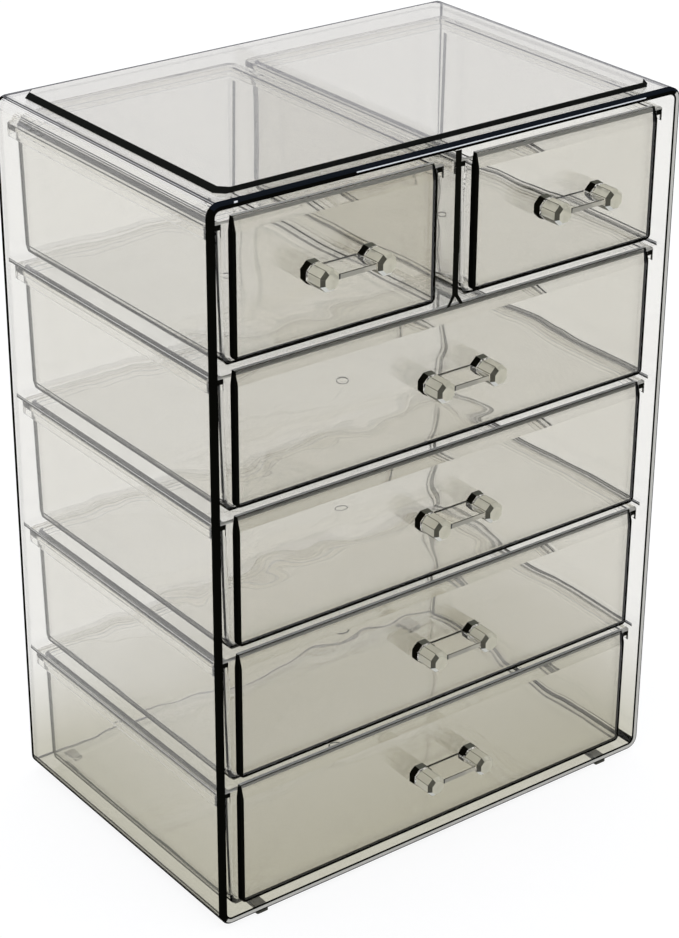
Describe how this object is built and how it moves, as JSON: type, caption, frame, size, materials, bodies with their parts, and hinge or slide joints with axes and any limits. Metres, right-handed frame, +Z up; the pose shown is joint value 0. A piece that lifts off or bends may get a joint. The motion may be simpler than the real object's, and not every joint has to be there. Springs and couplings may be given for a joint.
{
  "type": "drawer organizer",
  "caption": "Clear smoky plastic countertop organizer: a box casing with a raised deck, shelves, full-width drawers and divided small drawers on top, each with a bar handle.",
  "frame": {"origin": "centre of the bounding box's bottom, in the plane that the foot pads stand on", "axes": "+X to the right seen from the front, +Y towards the back, +Z up; the drawers open along -Y"},
  "size_m": [0.235, 0.1676, 0.3254],
  "materials": {
    "casing_plastic": "polished clear smoky plastic",
    "shelf_plastic": "polished clear smoky plastic",
    "tray_plastic": "polished clear smoky plastic",
    "front_plastic": "polished clear smoky plastic",
    "handle_plastic": "polished clear smoky plastic",
    "foot_plastic": "satin"
  },
  "bodies": {
    "casing": {"casing_shell": "casing_plastic", "back_panel": "casing_plastic", "shelf_1": "shelf_plastic", "shelf_2": "shelf_plastic", "shelf_3": "shelf_plastic", "shelf_4": "shelf_plastic", "centre_divider": "shelf_plastic", "foot_front_left": "foot_plastic", "foot_front_right": "foot_plastic", "foot_back_left": "foot_plastic", "foot_back_right": "foot_plastic"},
    "small_left_drawer": {"tray_small_left": "tray_plastic", "front_small_left": "front_plastic", "handle_small_left": "handle_plastic"},
    "small_right_drawer": {"tray_small_right": "tray_plastic", "front_small_right": "front_plastic", "handle_small_right": "handle_plastic"},
    "row_2_drawer": {"tray_row_2": "tray_plastic", "front_row_2": "front_plastic", "handle_row_2": "handle_plastic"},
    "row_3_drawer": {"tray_row_3": "tray_plastic", "front_row_3": "front_plastic", "handle_row_3": "handle_plastic"},
    "row_4_drawer": {"tray_row_4": "tray_plastic", "front_row_4": "front_plastic", "handle_row_4": "handle_plastic"},
    "row_5_drawer": {"tray_row_5": "tray_plastic", "front_row_5": "front_plastic", "handle_row_5": "handle_plastic"}
  },
  "joints": [
    {"name": "small_left_slide", "type": "slide", "parent": "casing", "child": "small_left_drawer", "axis": [0, -1, 0], "range_m": [0, 0.11]},
    {"name": "small_right_slide", "type": "slide", "parent": "casing", "child": "small_right_drawer", "axis": [0, -1, 0], "range_m": [0, 0.11]},
    {"name": "row_2_slide", "type": "slide", "parent": "casing", "child": "row_2_drawer", "axis": [0, -1, 0], "range_m": [0, 0.11]},
    {"name": "row_3_slide", "type": "slide", "parent": "casing", "child": "row_3_drawer", "axis": [0, -1, 0], "range_m": [0, 0.11]},
    {"name": "row_4_slide", "type": "slide", "parent": "casing", "child": "row_4_drawer", "axis": [0, -1, 0], "range_m": [0, 0.11]},
    {"name": "row_5_slide", "type": "slide", "parent": "casing", "child": "row_5_drawer", "axis": [0, -1, 0], "range_m": [0, 0.11]}
  ]
}
